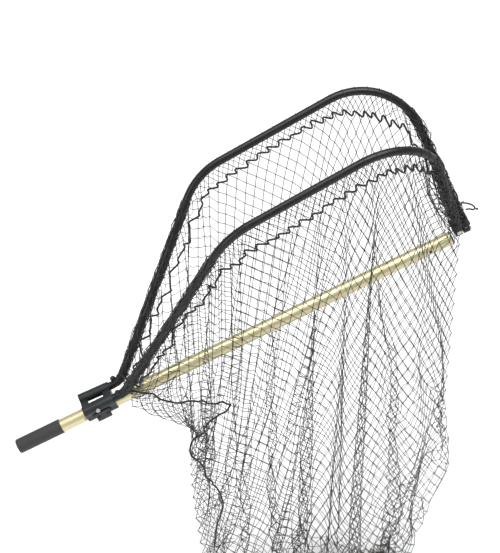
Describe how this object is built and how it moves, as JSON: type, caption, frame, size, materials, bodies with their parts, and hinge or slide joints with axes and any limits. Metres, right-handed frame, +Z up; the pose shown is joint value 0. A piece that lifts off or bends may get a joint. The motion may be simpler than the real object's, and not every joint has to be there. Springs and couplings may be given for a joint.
{
  "type": "landing net",
  "caption": "Folding landing net with a two-piece hinged hoop, a sliding head, a straight tubular handle and a deep knotted net bag.",
  "frame": {"origin": "middle of the grip, on the handle's axis", "axes": "+Z up, +X level towards the hoop's tip, +Y towards the far half hoop; the handle rises 21.25 degrees above +X"},
  "size_m": [0.9445, 0.2571, 1.1444],
  "materials": {
    "gold_anodised_tube": "satin anodised, pale gold",
    "black_anodised_tube": "satin anodised, black",
    "grip_rubber": "fine matt grain",
    "moulded_nylon": "moulded, slightly blue black",
    "latch_nylon": "moulded, dark grey",
    "button_nylon": "moulded",
    "acetal_bush": "turned, white",
    "zinc_steel": "bright zinc",
    "net_twine": "knotted black twine",
    "tie_cord": "braided black cord"
  },
  "bodies": {
    "handle": {"pole": "gold_anodised_tube", "grip": "grip_rubber", "pole_end_plug": "moulded_nylon", "stop_button_spring": "zinc_steel"},
    "stop_button": {"stop_button": "button_nylon"},
    "head": {"head_block": "moulded_nylon", "sleeve_bushes": "acetal_bush", "near_barrel_bush": "moulded_nylon", "far_barrel_bush": "moulded_nylon", "barrel_screws": "zinc_steel", "latch_guide_pins": "zinc_steel", "latch_springs": "zinc_steel", "net_near_arm": "net_twine", "net_near_rear_corner": "net_twine", "net_near_side": "net_twine", "net_near_front_corner": "net_twine", "net_near_front_shoulder": "net_twine", "net_near_front": "net_twine", "net_far_arm": "net_twine", "net_far_rear_corner": "net_twine", "net_far_side": "net_twine", "net_far_front_corner": "net_twine", "net_far_front_shoulder": "net_twine", "net_far_front": "net_twine", "net_rear_slope": "net_twine", "net_rear_wall": "net_twine", "net_bottom": "net_twine"},
    "latch": {"latch_tab": "latch_nylon", "lock_pin": "zinc_steel"},
    "near_hoop": {"near_hoop_tube": "black_anodised_tube", "near_arm_stop": "moulded_nylon", "near_tip_knuckle": "moulded_nylon", "near_tip_rivet": "zinc_steel", "tip_pin": "zinc_steel"},
    "far_hoop": {"far_hoop_tube": "black_anodised_tube", "far_arm_stop": "moulded_nylon", "far_tip_knuckle": "moulded_nylon", "far_tip_rivet": "zinc_steel", "tip_cord": "tie_cord", "tip_cord_knot": "tie_cord"}
  },
  "joints": [
    {"name": "head_slide", "type": "slide", "parent": "handle", "child": "head", "axis": [0.932, 0, 0.3624], "range_m": [0, 0.719]},
    {"name": "stop_button_press", "type": "slide", "parent": "handle", "child": "stop_button", "axis": [0, 1, 0], "range_m": [0, 0.0025], "stiffness_N_per_m": 800, "springref_m": -0.002, "deforming": ["stop_button_spring"]},
    {"name": "latch_pull", "type": "slide", "parent": "head", "child": "latch", "axis": [0, -1, 0], "range_m": [0, 0.003], "stiffness_N_per_m": 800, "springref_m": -0.003, "deforming": ["latch_springs"]},
    {"name": "near_fold", "type": "hinge", "parent": "head", "child": "near_hoop", "pos_m": [0.11692, -0.021, 0.06907], "axis": [0.9392, 0.0264, 0.3423], "range_deg": [-16.5, 70.5]},
    {"name": "far_fold", "type": "hinge", "parent": "head", "child": "far_hoop", "pos_m": [0.11692, 0.021, 0.06907], "axis": [-0.9392, 0.0264, -0.3423], "range_deg": [-16.5, 70.5]}
  ]
}
